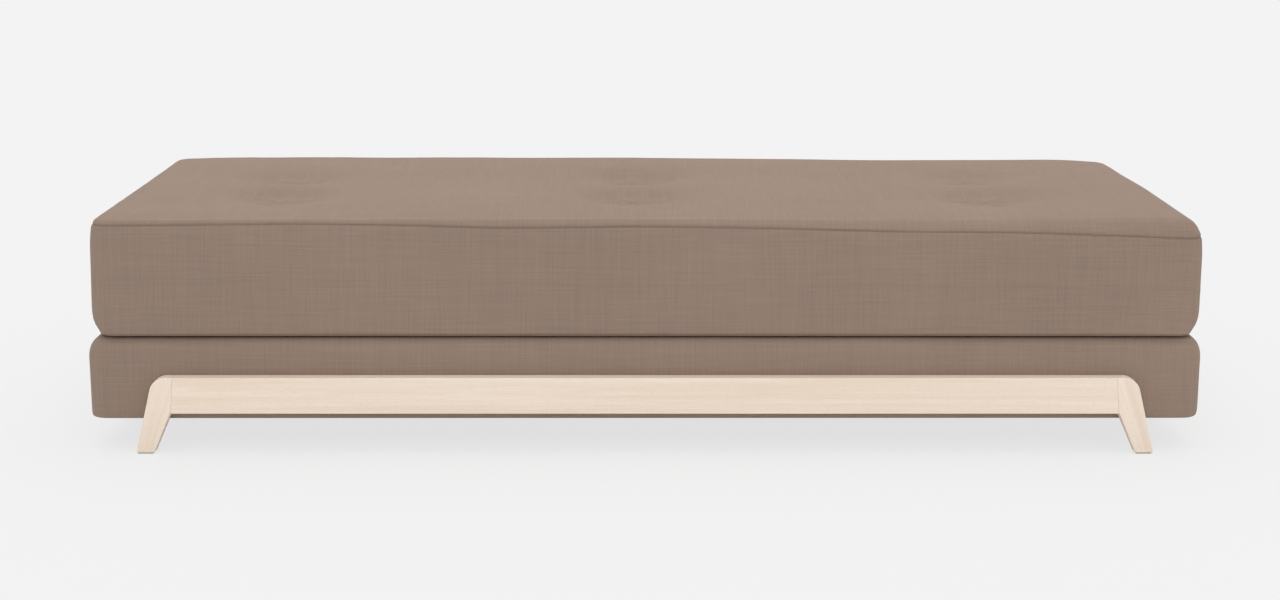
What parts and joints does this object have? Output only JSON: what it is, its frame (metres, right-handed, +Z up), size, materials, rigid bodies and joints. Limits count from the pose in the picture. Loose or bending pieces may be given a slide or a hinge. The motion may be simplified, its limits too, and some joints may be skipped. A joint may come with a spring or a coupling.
{
  "type": "sofa bed",
  "caption": "Low daybed sofa of two equal upholstered layers on splayed pale timber leg frames; the tufted mattress folds forward to make a double bed.",
  "frame": {"origin": "on the floor, under the middle of the piece", "axes": "+X along the length to the right as seen from the front, +Y to the back, +Z up; the front faces -Y"},
  "size_m": [2.009, 0.8486, 0.4235],
  "materials": {
    "taupe_weave": "matte",
    "pale_beech": "matte",
    "tenon_beech": "matte",
    "pine": "matte",
    "bent_beech": "satin",
    "zinc_steel": "satin",
    "felt": "matte",
    "firm_foam": "matte",
    "soft_foam": "matte",
    "twine": "matte",
    "dust_cloth": "matte"
  },
  "bodies": {
    "base": {"front_rail": "pale_beech", "back_rail": "pale_beech", "front_left_leg": "pale_beech", "front_right_leg": "pale_beech", "back_left_leg": "pale_beech", "back_right_leg": "pale_beech", "front_left_tenon": "tenon_beech", "front_right_tenon": "tenon_beech", "back_left_tenon": "tenon_beech", "back_right_tenon": "tenon_beech", "front_left_glide": "felt", "front_right_glide": "felt", "back_left_glide": "felt", "back_right_glide": "felt", "front_bolt_left": "zinc_steel", "front_bolt_middle": "zinc_steel", "front_bolt_right": "zinc_steel", "back_bolt_left": "zinc_steel", "back_bolt_middle": "zinc_steel", "back_bolt_right": "zinc_steel", "front_beam": "pine", "back_beam": "pine", "left_end_board": "pine", "right_end_board": "pine", "left_cross_bearer": "pine", "right_cross_bearer": "pine", "front_slat_ledger": "pine", "back_slat_ledger": "pine", "front_left_corner_block": "pine", "front_right_corner_block": "pine", "back_left_corner_block": "pine", "back_right_corner_block": "pine", "slat_01": "bent_beech", "slat_02": "bent_beech", "slat_03": "bent_beech", "slat_04": "bent_beech", "slat_05": "bent_beech", "slat_06": "bent_beech", "slat_07": "bent_beech", "slat_08": "bent_beech", "slat_09": "bent_beech", "slat_10": "bent_beech", "slat_11": "bent_beech", "slat_12": "bent_beech", "base_foam": "firm_foam", "base_cover": "taupe_weave", "base_dust_cloth": "dust_cloth"},
    "flap": {"hinge_flap": "taupe_weave"},
    "mattress": {"mattress_cover": "taupe_weave", "mattress_underside": "taupe_weave", "mattress_lower_foam": "soft_foam", "mattress_core": "firm_foam", "mattress_upper_foam": "soft_foam", "tuft_tie_front_left": "twine", "tuft_tie_front_middle": "twine", "tuft_tie_front_right": "twine", "tuft_tie_back_left": "twine", "tuft_tie_back_middle": "twine", "tuft_tie_back_right": "twine"}
  },
  "joints": [
    {"name": "flap_slide", "type": "slide", "parent": "base", "child": "flap", "axis": [0, -1, 0], "range_m": [0, 0.0494]},
    {"name": "mattress_fold", "type": "hinge", "parent": "flap", "child": "mattress", "pos_m": [0, -0.39, 0.2124], "axis": [1, 0, 0], "range_deg": [0, 180]}
  ],
  "couplings": [
    {"joint": "flap_slide", "follows": "mattress_fold", "m_per_rad": 0.015693}
  ]
}
